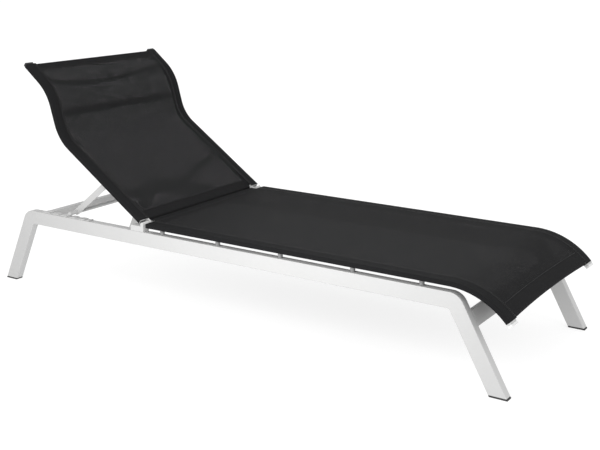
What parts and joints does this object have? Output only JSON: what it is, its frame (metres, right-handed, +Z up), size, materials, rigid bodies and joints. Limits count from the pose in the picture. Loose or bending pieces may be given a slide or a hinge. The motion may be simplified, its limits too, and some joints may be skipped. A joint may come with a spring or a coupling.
{
  "type": "sun lounger",
  "caption": "Reclining sun lounger with splayed legs, a curved mesh seat and a hinged mesh backrest held by a prop in notched racks.",
  "frame": {"origin": "on the floor under the middle of the footprint", "axes": "+X towards the foot end, +Y towards the left of the person lying on it, +Z up"},
  "size_m": [2.0833, 0.7, 0.8433],
  "materials": {
    "frame": "satin powder coat",
    "sling": "open woven mesh",
    "black_plastic": "moulded",
    "grey_plastic": "moulded",
    "bolt": "plated"
  },
  "bodies": {
    "frame": {"right_rail": "frame", "right_head_leg": "frame", "right_foot_leg": "frame", "right_head_glide": "black_plastic", "right_foot_glide": "black_plastic", "right_rack": "frame", "right_hinge_block": "frame", "right_spacer_1": "black_plastic", "right_spacer_2": "black_plastic", "right_spacer_3": "black_plastic", "right_spacer_4": "black_plastic", "right_spacer_5": "black_plastic", "right_seat_tube": "frame", "right_foot_plug": "grey_plastic", "right_seat_plug": "black_plastic", "left_rail": "frame", "left_head_leg": "frame", "left_foot_leg": "frame", "left_head_glide": "black_plastic", "left_foot_glide": "black_plastic", "left_rack": "frame", "left_hinge_block": "frame", "left_spacer_1": "black_plastic", "left_spacer_2": "black_plastic", "left_spacer_3": "black_plastic", "left_spacer_4": "black_plastic", "left_spacer_5": "black_plastic", "left_seat_tube": "frame", "left_foot_plug": "grey_plastic", "left_seat_plug": "black_plastic", "foot_cross_rail": "frame", "head_cross_rail": "frame", "hinge_tube": "frame", "seat_foot_tube": "frame", "seat_sling": "sling"},
    "backrest": {"right_back_tube": "frame", "right_top_plug": "black_plastic", "right_hinge_ear": "frame", "right_prop_lug": "frame", "right_prop_bolt": "bolt", "left_back_tube": "frame", "left_top_plug": "black_plastic", "left_hinge_ear": "frame", "left_prop_lug": "frame", "left_prop_bolt": "bolt", "head_tube": "frame", "back_lower_tube": "frame", "neck_tube": "frame", "head_end_tube": "frame", "back_sling": "sling"},
    "prop": {"right_prop_arm": "frame", "left_prop_arm": "frame", "prop_rod": "frame"}
  },
  "joints": [
    {"name": "backrest_recline", "type": "hinge", "parent": "frame", "child": "backrest", "pos_m": [-0.327, 0, 0.316], "axis": [0, 1, 0], "range_deg": [-34.7, 16]},
    {"name": "prop_swing", "type": "hinge", "parent": "backrest", "child": "prop", "pos_m": [-0.50997, 0, 0.44172], "axis": [0, 1, 0], "range_deg": [-32.6, 70.6]}
  ],
  "couplings": [
    {"joint": "prop_swing", "follows": "backrest_recline", "ratio": -2.03}
  ]
}
